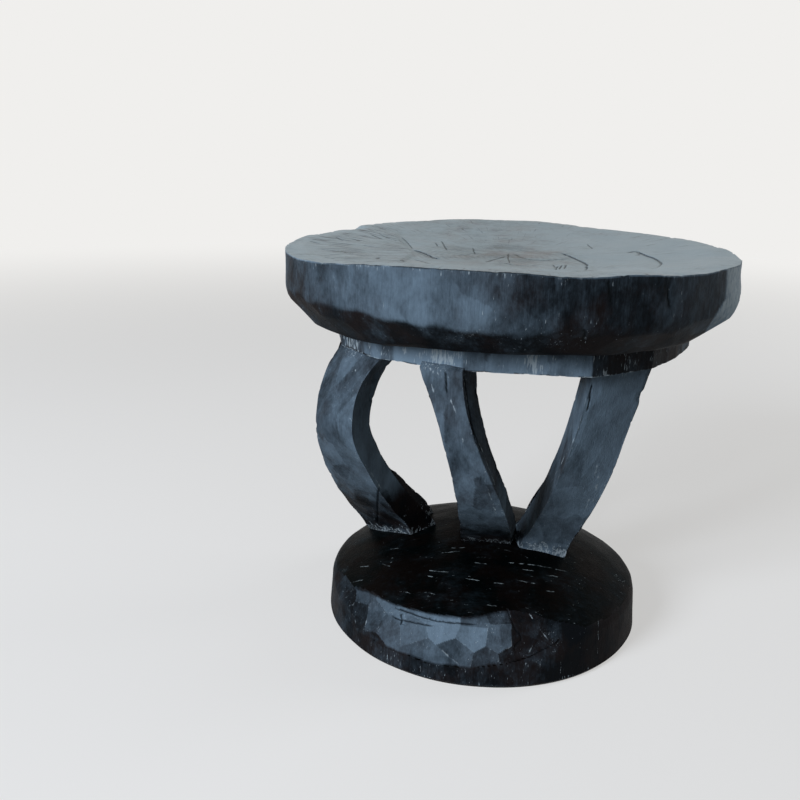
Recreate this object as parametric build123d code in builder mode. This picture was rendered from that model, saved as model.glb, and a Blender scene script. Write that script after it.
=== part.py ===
"""Round African stool on six curved struts, carved from one upright log.

Millimetres, +Z up.  The origin lies on the ground under the middle of the
seat, and -Y is the front.  A bearing is an angle seen from above: 0 faces the
front, 90 the right-hand side and -90 the left-hand side.
"""
from build123d import *
from math import atan2, cos, radians, sin, sqrt
import os

os.makedirs("parts", exist_ok=True)

# ---------------------------------------------------------------- seat
seat_top = 274.0            # height of the rim at its highest, the rear
seat_rise = 6.0             # how far the rear rim stands above the front rim
seat_thickness = 55.0       # at the rear rim
seat_reach = 147.0          # mean distance from the middle to the rim
# How far the hand-cut outline leaves that mean, at even steps from the front
# round by the right.
seat_waves = (-1, 1, 2, 0, -3, -1, 0, -1, -4, -1, 3, 0)
seat_belly_radius = 28.0    # rounding of the lower edge
seat_rim_radius = 2.5
dish_depth = 10.0
dish_rim_width = 8.0        # flat left around the dish

# ---------------------------------------------------------------- collar
collar_height = 13.0
collar_reach = 116.0        # to the corners between its flats
collar_corners = (-75, -47, -17, 19, 46, 74, 106, 140, 173, 206, 246)
collar_offset = (4.0, -1.0)

# ---------------------------------------------------------------- base
base_width = 226.0
base_depth = 213.0
base_crown = 64.5           # height of the domed top at its middle
dome_radius = 208.0
base_side_lean = 2.0        # degrees that the side leans in
base_shoulder_radius = 10.0
base_edge = 2.5             # chamfer round the ground face
base_spare = 4.0            # turned below the ground, then sawn off flat
base_offset = (-5.6, -8.1)  # the log leans, so the base sits off the seat's axis

# Adze flats that cut the front shoulder: bearing and depth below the corner.
adze_slope = 59.0           # degrees from the horizontal
adze_flats = ((-66, 5.5), (-47, 8), (-27, 8.5), (-8, 8.5), (12, 8.5))

# ---------------------------------------------------------------- struts
# Each strut has six stations, at these shares of the way from the collar
# down to the foot station, which lies foot_drop below the base's crown.
station_shares = (0.0, 0.12, 0.3, 0.57, 0.83, 1.0)
foot_drop = 4.5
strut_root = 24.0           # length of foot below its station, trimmed by the dome

# Every value below is millimetres or degrees.
# top_inset: from the collar's reach in to the middle of the outer face
# foot_inset: the same from the base's side, at the foot station
# bows: how far the outer face stands out from a straight line between those
# bearings, widths: of the middle of the outer face, and across it
# turns: from the bearing to the direction that the outer face looks in
# left_cut, right_cut: from the bearing to the direction of each side cut
struts = {
    "strut_left_front": dict(
        top_inset=15, foot_inset=37, bows=(0, 16.5, 32, 24.5, 8.5, 0),
        bearings=(-64, -64, -60, -65, -77.5, -92), widths=(45, 40, 34.5, 37, 42.5, 47),
        turns=(14, 14, 17.5, 32, 46, 58), left_cut=12, right_cut=31.5, depth=22.5),
    "strut_centre_front": dict(
        top_inset=11, foot_inset=85.5, bows=(0, 11.5, 26.5, 34.5, 17.5, 0),
        bearings=(-24.5, -21.5, -16.5, -10.5, -7.5, -7), widths=(27.5, 23, 22, 28.5, 34, 36),
        turns=(0, -4, -7, -4.5, -1.5, 0.5), left_cut=0, right_cut=-13, depth=16),
    "strut_right_front": dict(
        top_inset=6.5, foot_inset=62.5, bows=(0, 3.5, 7.5, 10, 4.5, 0),
        bearings=(36, 35.5, 35.5, 36, 40.5, 46.5), widths=(40.5, 38.5, 36.5, 35.5, 34, 33.5),
        turns=(-16.5, -16.5, -19, -26.5, -40, -51), left_cut=-33.5, right_cut=-8, depth=22.5),
    "strut_left_rear": dict(
        top_inset=9.5, foot_inset=43, bows=(0, 9, 20.5, 28.5, 12, 0),
        bearings=(-109.5, -106.5, -102, -97.5, -102, -112), widths=(32, 30.5, 29, 28.5, 33, 30),
        turns=(-5, -7, -9, -7, -13, -14), left_cut=-12, right_cut=0, depth=21),
    "strut_right_rear": dict(
        top_inset=9.5, foot_inset=43, bows=(0, 5.5, 12.5, 14.5, 8, 0),
        bearings=(115, 115, 115.5, 116.5, 118, 119), widths=(31, 30, 29, 29, 31.5, 33),
        turns=(4, 5, 6, 8, 10, 11.5), left_cut=6, right_cut=12.5, depth=22),
    "strut_centre_rear": dict(
        top_inset=9.5, foot_inset=49, bows=(0, 5.5, 12, 14, 8, 0),
        bearings=(197, 195.5, 193, 188.5, 183, 179), widths=(31, 29.5, 28.5, 28.5, 31.5, 34),
        turns=(-4, -4, -5, -6, -8, -10), left_cut=-9.5, right_cut=-4, depth=22),
}
# Neighbours that meet in a V at the foot: the first is cut back to the second.
strut_pairs = {
    "strut_right_front": "strut_centre_front",
    "strut_left_rear": "strut_left_front",
    "strut_centre_rear": "strut_right_rear",
}

# ---------------------------------------------------------------- derived places
seat_bottom = seat_top - seat_thickness
collar_bottom = seat_bottom - collar_height
foot_station = base_crown - foot_drop
strut_middle = (base_offset[0] / 2, base_offset[1] / 2)
base_reach = base_width / 2


def toward(bearing):
    """Unit vector that points outwards at a bearing."""
    return Vector(sin(radians(bearing)), -cos(radians(bearing)))


def at_bearing(reach, bearing, middle=(0, 0)):
    """Plan position at a reach and a bearing from a middle."""
    return Vector(*middle) + reach * toward(bearing)


# ---------------------------------------------------------------- seat
wave_step = 360 / len(seat_waves)
seat_outline = [
    at_bearing(seat_reach + wave, wave_step * step) for step, wave in enumerate(seat_waves)
]
seat_tilt = atan2(seat_rise, 2 * seat_reach)
seat_plane = Plane(
    (0, 0, seat_top - seat_rise / 2), x_dir=(1, 0, 0), z_dir=(0, -sin(seat_tilt), cos(seat_tilt))
)
dish_reach = seat_reach + min(seat_waves) - dish_rim_width
dish_radius = (dish_reach**2 + dish_depth**2) / (2 * dish_depth)

with BuildPart() as seat:
    with BuildSketch(Plane.XY.offset(seat_bottom)):
        with BuildLine():
            Spline(*seat_outline, periodic=True)
        make_face()
    extrude(amount=seat_thickness)
    fillet(seat.edges().group_by(Axis.Z)[0], seat_belly_radius)
    split(bisect_by=seat_plane, keep=Keep.BOTTOM)
    rim_face = seat.faces().sort_by(Axis.Z)[-1]
    fillet(rim_face.edges(), seat_rim_radius)
    with Locations(seat_plane.offset(dish_radius - dish_depth)):
        Sphere(dish_radius, mode=Mode.SUBTRACT)

seat.part.label = "seat"
export_step(seat.part, "parts/seat.step")

# ---------------------------------------------------------------- collar
collar_outline = [
    at_bearing(collar_reach, corner, collar_offset) for corner in collar_corners
]

with BuildPart() as collar:
    with BuildSketch(Plane.XY.offset(collar_bottom)):
        Polygon(*collar_outline, align=None)
    extrude(amount=collar_height)

collar.part.label = "collar"
export_step(collar.part, "parts/collar.step")

# ---------------------------------------------------------------- base
# The round blank is turned, then narrowed from front to back.
shoulder_reach = base_reach - base_crown * sin(radians(base_side_lean))
shoulder_height = base_crown - dome_radius + sqrt(dome_radius**2 - shoulder_reach**2)

with BuildPart() as base_blank:
    with BuildSketch(Plane.XZ):
        with BuildLine():
            Polyline(
                (0, base_crown),
                (0, -base_spare),
                (base_reach - base_edge - base_spare, -base_spare),
                (base_reach, base_edge),
                (shoulder_reach, shoulder_height),
            )
            RadiusArc((0, base_crown), (shoulder_reach, shoulder_height), dome_radius)
        make_face()
        fillet(vertices().group_by(Axis.Y)[-2], base_shoulder_radius)
    revolve(axis=Axis.Z)
    scale(by=(1, base_depth / base_width, 1))

with BuildPart() as base:
    with Locations(base_offset):
        add(base_blank.part)
    split(bisect_by=Plane.XY, keep=Keep.TOP)
    for bearing, depth in adze_flats:
        outward = toward(bearing)
        corner = Vector(
            base_offset[0] + outward.X * base_width / 2,
            base_offset[1] + outward.Y * base_depth / 2,
            shoulder_height,
        )
        normal = outward * sin(radians(adze_slope)) + Vector(0, 0, cos(radians(adze_slope)))
        split(bisect_by=Plane(corner - normal * depth, z_dir=normal), keep=Keep.BOTTOM)

base.part.label = "base"
export_step(base.part, "parts/base.step")


# ---------------------------------------------------------------- struts
def strut_corners(shape, station):
    """Plan corners of a strut's section at one of its stations."""
    top_reach = collar_reach - shape["top_inset"]
    foot_reach = base_reach - shape["foot_inset"]
    share = station_shares[station]
    reach = top_reach + share * (foot_reach - top_reach) + shape["bows"][station]
    bearing = shape["bearings"][station]
    middle = at_bearing(reach, bearing, strut_middle)
    half_face = toward(bearing + shape["turns"][station] + 90) * (shape["widths"][station] / 2)
    left_depth = toward(bearing + shape["left_cut"]) * shape["depth"]
    right_depth = toward(bearing + shape["right_cut"]) * shape["depth"]
    outer_left = middle - half_face
    outer_right = middle + half_face
    return outer_left, outer_right, outer_right - right_depth, outer_left - left_depth


def carve_strut(shape, neighbour):
    """Loft a strut through its stations and trim its foot to the dome."""
    foot = len(station_shares) - 1
    with BuildPart() as strut:
        for station, share in enumerate(station_shares):
            height = collar_bottom + share * (foot_station - collar_bottom)
            with BuildSketch(Plane.XY.offset(height)):
                Polygon(*strut_corners(shape, station), align=None)
        with BuildSketch(Plane.XY.offset(foot_station - strut_root)):
            Polygon(*strut_corners(shape, foot), align=None)
        loft()
        add(base.part, mode=Mode.SUBTRACT)
        if neighbour:
            add(neighbour, mode=Mode.SUBTRACT)
    return strut.part


carved = {}
for name, shape in struts.items():
    carved[name] = carve_strut(shape, carved.get(strut_pairs.get(name)))
    carved[name].label = name
    export_step(carved[name], f"parts/{name}.step")
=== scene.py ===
import math

import bmesh
import bpy
from mathutils import Matrix, Vector, noise
from mathutils.bvhtree import BVHTree
from mathutils.kdtree import KDTree


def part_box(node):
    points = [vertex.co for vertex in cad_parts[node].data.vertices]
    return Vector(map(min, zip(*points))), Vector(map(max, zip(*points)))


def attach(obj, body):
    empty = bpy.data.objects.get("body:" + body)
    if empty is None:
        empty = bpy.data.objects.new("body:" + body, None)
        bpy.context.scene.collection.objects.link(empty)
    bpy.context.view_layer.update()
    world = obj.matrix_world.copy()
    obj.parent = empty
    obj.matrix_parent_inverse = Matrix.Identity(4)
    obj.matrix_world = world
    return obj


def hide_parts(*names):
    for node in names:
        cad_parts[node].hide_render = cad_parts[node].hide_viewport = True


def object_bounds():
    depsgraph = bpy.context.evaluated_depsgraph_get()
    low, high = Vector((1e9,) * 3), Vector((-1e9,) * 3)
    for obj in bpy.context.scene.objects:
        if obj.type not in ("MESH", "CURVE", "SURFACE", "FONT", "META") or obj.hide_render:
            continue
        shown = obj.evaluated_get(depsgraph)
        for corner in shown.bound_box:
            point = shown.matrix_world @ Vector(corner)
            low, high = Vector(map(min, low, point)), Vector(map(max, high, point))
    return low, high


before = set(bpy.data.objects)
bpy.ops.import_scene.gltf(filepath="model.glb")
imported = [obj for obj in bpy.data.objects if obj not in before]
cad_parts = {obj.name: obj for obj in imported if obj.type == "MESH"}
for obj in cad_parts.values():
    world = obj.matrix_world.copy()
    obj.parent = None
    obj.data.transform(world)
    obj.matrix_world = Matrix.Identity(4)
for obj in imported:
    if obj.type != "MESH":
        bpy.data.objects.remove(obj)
cad_low, cad_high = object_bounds()

MM = 0.001

# ---------------------------------------------------------------- camera
# Every view position below is across and down, in pixels of an 800 by 800 view.
VIEW_SIZE = 800
FOCAL_PIXELS = 801.0
CAMERA_PLACE = Vector((-69.24, -548.89, 324.14)) * MM
CAMERA_PITCH = 0.2962       # radians below the horizontal
CAMERA_ROLL = 0.0209

level_right = Vector((1, 0, 0))
level_up = Vector((0, math.sin(CAMERA_PITCH), math.cos(CAMERA_PITCH)))
look = Vector((0, math.cos(CAMERA_PITCH), -math.sin(CAMERA_PITCH)))
view_right = math.cos(CAMERA_ROLL) * level_right + math.sin(CAMERA_ROLL) * level_up
view_up = math.cos(CAMERA_ROLL) * level_up - math.sin(CAMERA_ROLL) * level_right


def sight_line(across, down):
    """Direction from the camera through a view position."""
    aside = (across - VIEW_SIZE / 2) / FOCAL_PIXELS
    above = (VIEW_SIZE / 2 - down) / FOCAL_PIXELS
    return (look + view_right * aside + view_up * above).normalized()


def seen_at(place):
    """View position of a place."""
    offset = place - CAMERA_PLACE
    depth = offset.dot(look)
    across = VIEW_SIZE / 2 + FOCAL_PIXELS * offset.dot(view_right) / depth
    return across, VIEW_SIZE / 2 - FOCAL_PIXELS * offset.dot(view_up) / depth


camera_data = bpy.data.cameras.new("camera")
camera_data.sensor_width = 36.0
camera_data.lens = camera_data.sensor_width * FOCAL_PIXELS / VIEW_SIZE
camera = bpy.data.objects.new("camera", camera_data)
camera.matrix_world = Matrix.Translation(CAMERA_PLACE) @ Matrix(
    (view_right, view_up, -look)
).transposed().to_4x4()
bpy.context.collection.objects.link(camera)
bpy.context.scene.camera = camera


# ---------------------------------------------------------------- small helpers
def blend_step(value, low, high):
    """0 below low, 1 above high, and smooth between."""
    share = min(1.0, max(0.0, (value - low) / (high - low)))
    return share * share * (3 - 2 * share)


def plateau(value, begin, full, fall, end):
    """1 between full and fall, and 0 outside begin and end."""
    return blend_step(value, begin, full) * blend_step(value, end, fall)


def bearing_of(place):
    """Angle seen from above, in degrees: 0 at the front, 90 on the right."""
    return math.degrees(math.atan2(place.x, -place.y))


def toward(bearing, slope=0.0):
    """Unit vector that points outwards at a bearing and up by a slope."""
    flat = math.cos(math.radians(slope))
    turn = math.radians(bearing)
    return Vector((math.sin(turn) * flat, -math.cos(turn) * flat, math.sin(math.radians(slope))))


def eased_ring(stops):
    """Values at every degree round the stool, eased between stops of (bearing, value)."""
    ring = sorted(stops)
    ring = [(ring[-1][0] - 360, ring[-1][1])] + ring + [(ring[0][0] + 360, ring[0][1])]
    values = []
    for degree in range(-180, 182):
        for (here, low), (there, high) in zip(ring, ring[1:]):
            if here <= degree <= there:
                values.append(low + (high - low) * blend_step(degree, here, there))
                break
    return values


def around(bearing, values):
    """Value at a bearing, from one for every degree."""
    whole = math.floor(bearing)
    low = values[whole + 180]
    return low + (values[whole + 181] - low) * (bearing - whole)


def along(spot, stops):
    """Value at a spot, straight between stops of (spot, value) in rising order."""
    for (here, low), (there, high) in zip(stops, stops[1:]):
        if spot <= there:
            return low + (high - low) * max(0.0, (spot - here) / (there - here))
    return stops[-1][1]


def smooth_curve(knots, values, spot):
    """Value at a spot on a smooth curve through values at rising knots."""
    spot = min(knots[-1], max(knots[0], spot))
    gaps = [after - before for before, after in zip(knots, knots[1:])]
    rises = [(after - before) / gap for before, after, gap in zip(values, values[1:], gaps)]
    span = 0
    while span < len(gaps) - 1 and spot > knots[span + 1]:
        span += 1

    def heading(knot):
        if knot == 0:
            return rises[0] + (rises[0] - rises[1]) * gaps[0] / (gaps[0] + gaps[1])
        if knot == len(gaps):
            return rises[-1] + (rises[-1] - rises[-2]) * gaps[-1] / (gaps[-1] + gaps[-2])
        before, after = gaps[knot - 1], gaps[knot]
        return (rises[knot - 1] * after + rises[knot] * before) / (before + after)

    gap = gaps[span]
    share = (spot - knots[span]) / gap
    start = values[span] * (1 + 2 * share) * (1 - share) ** 2
    leave = heading(span) * gap * share * (1 - share) ** 2
    finish = values[span + 1] * share**2 * (3 - 2 * share)
    arrive = heading(span + 1) * gap * share**2 * (share - 1)
    return start + leave + finish + arrive


def unevenness(place, size, seed=0.0, stretch=1.0):
    """Smooth noise from -1 to 1 with lumps of a size in millimetres, stretched along Z."""
    spot = Vector((place.x, place.y, place.z / stretch)) / (size * MM)
    return noise.noise(spot + Vector((seed, seed * 0.7, -seed)))


# ---------------------------------------------------------------- meshes
FRONT_CROWDING = 25.0       # degrees by which columns of faces are drawn to the front
# The tone mark holds random tone and painted light: sheen painted where light falls, and little or none
# where shade falls.
MARKS = ("tone", "facet", "wear", "crack", "fray", "hatch", "lane")


def wrapped_grid(columns, rows, place_at):
    """Bmesh of a grid wrapped round into a closed skin, from a place for each column and row."""
    bm = bmesh.new()
    for mark in MARKS:
        bm.verts.layers.float.new(mark)
    lane = bm.verts.layers.float["lane"]
    bmesh.ops.create_grid(bm, x_segments=columns, y_segments=rows, size=1.0)
    for vert in bm.verts:
        column = round((vert.co.x + 1) / 2 * columns) % columns
        row = round((vert.co.y + 1) / 2 * rows)
        vert[lane] = column
        vert.co = place_at(column, row)
    bmesh.ops.remove_doubles(bm, verts=bm.verts, dist=1e-6)
    open_edges = [edge for edge in bm.edges if edge.is_boundary]
    if open_edges:
        bmesh.ops.holes_fill(bm, edges=open_edges, sides=0)
    bmesh.ops.recalc_face_normals(bm, faces=bm.faces)
    bm.normal_update()
    return bm


def layers_of(bm, *marks):
    """The layers that hold a bmesh's marks."""
    return [bm.verts.layers.float[mark] for mark in marks]


def crowded_bearing(column, columns):
    """Bearing of a column, with more of them at the front."""
    turn = 360.0 * column / columns - 180
    return turn - FRONT_CROWDING * math.sin(math.radians(turn))


def solid_surface(node):
    """The solid model's skin, to find places on."""
    solid = bmesh.new()
    solid.from_mesh(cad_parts[node].data)
    surface = BVHTree.FromBMesh(solid)
    solid.free()
    return surface


def finer(bm, chosen, cuts=1):
    """Splits the faces whose middle is chosen into smaller ones."""
    edges = {edge for face in bm.faces if chosen(face.calc_center_median()) for edge in face.edges}
    bmesh.ops.subdivide_edges(bm, edges=list(edges), cuts=cuts, use_grid_fill=True)
    bm.normal_update()


def pare(verts, point, normal):
    """Shaves flat whatever stands proud of a plane."""
    for vert in verts:
        proud = (vert.co - point).dot(normal)
        if proud > 0:
            vert.co -= normal * proud


def scallop(bm, depth, size, seed, stretch, shading, chosen=None):
    """Leaves the shallow scoops of a small adze, each about a size across, in its own shade."""
    facet = bm.verts.layers.float["facet"]
    for vert in bm.verts:
        share = 1.0 if chosen is None else chosen(vert.co)
        if share <= 0:
            continue
        spot = Vector((vert.co.x, vert.co.y, vert.co.z / stretch)) / (size * MM)
        distances, middles = noise.voronoi(spot + Vector((seed, seed, seed)))
        scoop = 1 - min(1.0, distances[0] / 0.75) ** 2
        vert.co -= vert.normal * depth * MM * scoop * share
        vert[facet] = 2 * shading * noise.noise(middles[0] * 5.3)
    bm.normal_update()


def roughen(bm, depth, size, seed, stretch=1.0):
    """Long low waves that a hand tool leaves."""
    for vert in bm.verts:
        vert.co -= vert.normal * depth * MM * unevenness(vert.co, size, seed, stretch)
    bm.normal_update()


def nibble(bm, spot, reach, depth):
    """Bites a torn hollow out of the wood round a place."""
    for vert in bm.verts:
        distance = (vert.co - spot).length / MM
        if distance < reach:
            ragged = 0.75 + 0.5 * unevenness(vert.co, 1.6, 30.0, 2.0)
            vert.co -= vert.normal * depth * MM * ragged * blend_step(distance, reach, 0.2 * reach)
    bm.normal_update()


WANDER = 0.45               # how far a crack strays from its line, in millimetres
TRACE_STEP = 0.5            # between the points along it


def path_points(path):
    """Close places along a path of corners, straying a little."""
    points = []
    for start, end in zip(path, path[1:]):
        steps = max(1, int((end - start).length / (TRACE_STEP * MM)))
        points += [start.lerp(end, step / steps) for step in range(steps)]
    points.append(path[-1])
    return [
        point + Vector((unevenness(point, 3, 5.0), unevenness(point, 3, 6.0), 0)) * WANDER * MM
        for point in points
    ]


class Trace:
    """Several paths on a surface, to ask how far a place is from the nearest."""

    def __init__(self, paths):
        self.points = []
        self.headings = []
        for path in paths:
            run = path_points(path)
            for index, point in enumerate(run):
                ahead = run[min(index + 1, len(run) - 1)] - run[max(index - 1, 0)]
                end_share = min(index, len(run) - 1 - index) / (0.5 * len(run))
                self.points.append((point, blend_step(end_share, -0.04, 0.2)))
                self.headings.append(ahead.normalized())
        self.tree = KDTree(len(self.points))
        for index, (point, _) in enumerate(self.points):
            self.tree.insert(point, index)
        self.tree.balance()

    def near(self, place):
        """Distance to the nearest path, which side it is, and the path's strength there."""
        spot, index, distance = self.tree.find(place)
        aside = self.headings[index].cross(place - spot)
        return distance, aside, self.points[index][1]


def split_open(bm, trace, width, depth, shade=1.0):
    """Opens narrow cracks along a trace, and marks them to be painted dark as the shade inside them."""
    crack = bm.verts.layers.float["crack"]
    for vert in bm.verts:
        distance, _, strength = trace.near(vert.co)
        reach = width * MM * (0.4 + 0.6 * strength)
        if distance < reach:
            share = (1 - distance / reach) * strength
            vert.co -= vert.normal * depth * MM * share
            vert[crack] = max(vert[crack], shade * min(1.0, share * 1.6))
    bm.normal_update()


def flake(bm, trace, drop, reach, side):
    """Lowers the ground on one side of a trace, as where a thin flake has come away."""
    for vert in bm.verts:
        distance, aside, strength = trace.near(vert.co)
        if distance < reach * MM and aside.dot(vert.normal) * side > 0:
            share = blend_step(1 - distance / (reach * MM), 0, 1) * strength
            vert.co -= vert.normal * drop * MM * share
    bm.normal_update()


def draw_on(bm, mark, trace, width, strength):
    """Marks a line along a trace, as a scratch that leaves the shape alone."""
    layer = bm.verts.layers.float[mark]
    for vert in bm.verts:
        distance, _, share = trace.near(vert.co)
        if distance < width * MM:
            broken = min(1.0, max(0.0, 0.85 + 1.3 * unevenness(vert.co, 3.5, 12.0)))
            line = strength * share * broken * (1 - distance / (width * MM))
            vert[layer] = max(vert[layer], line)


def wear_edges(bm, low, high):
    """Marks edges unevenly, from those that bend a little to those that bend much."""
    wear = bm.verts.layers.float["wear"]
    for vert in bm.verts:
        bend = 0.0
        for edge in vert.link_edges:
            step = edge.other_vert(vert).co - vert.co
            bend -= step.dot(vert.normal) / max(step.length, 1e-7)
        bend /= max(1, len(vert.link_edges))
        rub = 0.55 + 0.45 * unevenness(vert.co, 6, 8.0)
        vert[wear] = max(vert[wear], blend_step(bend, low, high) * rub)


def in_the_box(bm):
    """Keeps the carving inside the solid model's own box."""
    for vert in bm.verts:
        for axis in range(3):
            vert.co[axis] = min(cad_high[axis], max(cad_low[axis], vert.co[axis]))


def finished(bm, node, materials, sharp_degrees):
    """Makes the carved mesh an object that stands for its node."""
    in_the_box(bm)
    tone, facet = layers_of(bm, "tone", "facet")
    for vert in bm.verts:
        vert[tone] += vert[facet]
    name = node + "_carved"
    mesh = bpy.data.meshes.new(name)
    for face in bm.faces:
        face.smooth = True
    for edge in bm.edges:
        edge.smooth = edge.calc_face_angle(0.0) < math.radians(sharp_degrees)
    bm.to_mesh(mesh)
    bm.free()
    for material in materials:
        mesh.materials.append(material)
    piece = bpy.data.objects.new(name, mesh)
    bpy.context.collection.objects.link(piece)
    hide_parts(node)
    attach(piece, "root")


def softened(corners):
    """A row of view positions with its corners cut twice."""
    for _ in range(2):
        row = [corners[0]]
        for start, end in zip(corners, corners[1:]):
            row += [tuple(a + (b - a) * share for a, b in zip(start, end)) for share in (0.25, 0.75)]
        corners = row + [corners[-1]]
    return corners


def seen_on(surface, across, down):
    """Place on a surface that a view position shows, if there is one, and its normal."""
    return surface.ray_cast(CAMERA_PLACE, sight_line(across, down))[:2]


def traced(bm, *rows):
    """Trace of several rows of view positions on a bmesh."""
    surface = BVHTree.FromBMesh(bm)
    paths = []
    for row in rows:
        places = [seen_on(surface, across, down)[0] for across, down in softened(row)]
        paths.append([place for place in places if place is not None])
    return Trace([path for path in paths if len(path) > 1])


# ---------------------------------------------------------------- materials
def srgb(code):
    """Linear colour from an sRGB hex code."""
    channels = [int(code[place:place + 2], 16) / 255 for place in (1, 3, 5)]
    linear = [c / 12.92 if c <= 0.04045 else ((c + 0.055) / 1.055) ** 2.4 for c in channels]
    return (*linear, 1.0)


def node_in(tree, kind, settings=None, **inputs):
    """Adds a shader node. An input is a value, or a (node, output) pair to link."""
    made = tree.nodes.new(kind)
    for key, value in (settings or {}).items():
        setattr(made, key, value)
    for key, value in inputs.items():
        socket = made.inputs[int(key[1:]) if key[1:].isdigit() else key.replace("_", " ")]
        if isinstance(value, tuple) and isinstance(value[0], bpy.types.Node):
            tree.links.new(value[0].outputs[value[1]], socket)
        else:
            socket.default_value = value
    return made


def new_material(name):
    """An empty node material with its shader and output."""
    material = bpy.data.materials.new(name)
    material.use_nodes = True
    tree = material.node_tree
    tree.nodes.clear()
    shader = node_in(tree, "ShaderNodeBsdfPrincipled")
    node_in(tree, "ShaderNodeOutputMaterial", Surface=(shader, "BSDF"))
    return material, tree, shader


def per_unit(across, along, axis):
    """Scale at which one unit of a pattern is a size across and a size along an axis."""
    scale = [1000 / across] * 3
    scale["XYZ".index(axis)] = 1000 / along
    return scale


PITH = (0.6, -11.0)         # where the log's heart shows in the seat, in millimetres
RING_WAVE = 12.7            # a pattern unit that puts the growth rings four millimetres apart
RAY_SCALE = [46, 0.42, 1]   # makes the rays' checks some two millimetres wide and thirty long
# Painted shade: the near-black painted into cracks and checks, as the shade inside them.
CRACK_SHADE = "#0d1113"
BUMP_HEIGHT = 0.0006        # metres

# Settings that many of the nodes share.
SMOOTH = {"interpolation_type": "SMOOTHSTEP"}
WEIGHTED_SUM = {"operation": "MULTIPLY_ADD"}
LARGER = {"operation": "MAXIMUM"}

# Patterns in the wood: size across and along the grain in millimetres, detail, roughness.
# Clouds are hand-sized patches of polish, mottle is soot in the pores, and the fibres are
# about a millimetre across, which is as fine as the eye picks out at this distance.
WOOD_PATTERNS = (
    ("clouds", 14, 26, 5.0, 0.62),
    ("mottle", 2.6, 5, 3.0, 0.7),
    ("fibres", 0.9, 16, 3.0, 0.65),
    ("scratches", 0.8, 5, 2.0, 0.5),
    ("thin stain", 30, 38, 5.0, 0.65),
)


def weather_end_grain(tree, place, seen):
    """Adds growth rings, and fine checks that run along the rays. Both centre on the pith."""
    centred = node_in(
        tree, "ShaderNodeMapping", Vector=(place, "Object"),
        Location=[-PITH[0] / RING_WAVE, -PITH[1] / RING_WAVE, 0], Scale=[1000 / RING_WAVE] * 3,
    )
    growth = node_in(
        tree, "ShaderNodeTexWave", {"wave_type": "RINGS", "rings_direction": "Z"},
        Vector=(centred, 0), Scale=1.0, Distortion=3.5, Detail=3.0, Detail_Scale=0.6,
    )
    ringed = node_in(
        tree, "ShaderNodeMath", WEIGHTED_SUM, _0=(growth, "Fac"), _1=0.13, _2=seen["streaked"]
    )
    seen["streaked"] = (ringed, 0)

    plan = node_in(tree, "ShaderNodeSeparateXYZ", Vector=(centred, 0))
    turn = node_in(tree, "ShaderNodeMath", {"operation": "ARCTAN2"}, _0=(plan, "Y"), _1=(plan, "X"))
    level = node_in(tree, "ShaderNodeCombineXYZ", X=(plan, "X"), Y=(plan, "Y"))
    reach = node_in(tree, "ShaderNodeVectorMath", {"operation": "LENGTH"}, Vector=(level, 0))
    turn_and_reach = node_in(tree, "ShaderNodeCombineXYZ", X=(turn, 0), Y=(reach, "Value"))
    ray_place = node_in(tree, "ShaderNodeMapping", Vector=(turn_and_reach, 0), Scale=RAY_SCALE)
    rays = node_in(
        tree, "ShaderNodeTexNoise", Vector=(ray_place, 0), Scale=1.0, Detail=3.5, Roughness=0.66
    )
    hatch = node_in(tree, "ShaderNodeAttribute", {"attribute_name": "hatch"})
    hatched = node_in(
        tree, "ShaderNodeMath", WEIGHTED_SUM, _0=(hatch, "Fac"), _1=-0.13, _2=(rays, 0)
    )
    checks = node_in(
        tree, "ShaderNodeMapRange", SMOOTH,
        Value=(hatched, 0), From_Min=0.4, From_Max=0.24, To_Max=0.85,
    )
    # The fine checks are painted dark like the cracks, as shade.
    opened = node_in(tree, "ShaderNodeMath", LARGER, _0=(checks, 0), _1=seen["crack"])
    seen["crack"] = (opened, 0)


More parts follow.
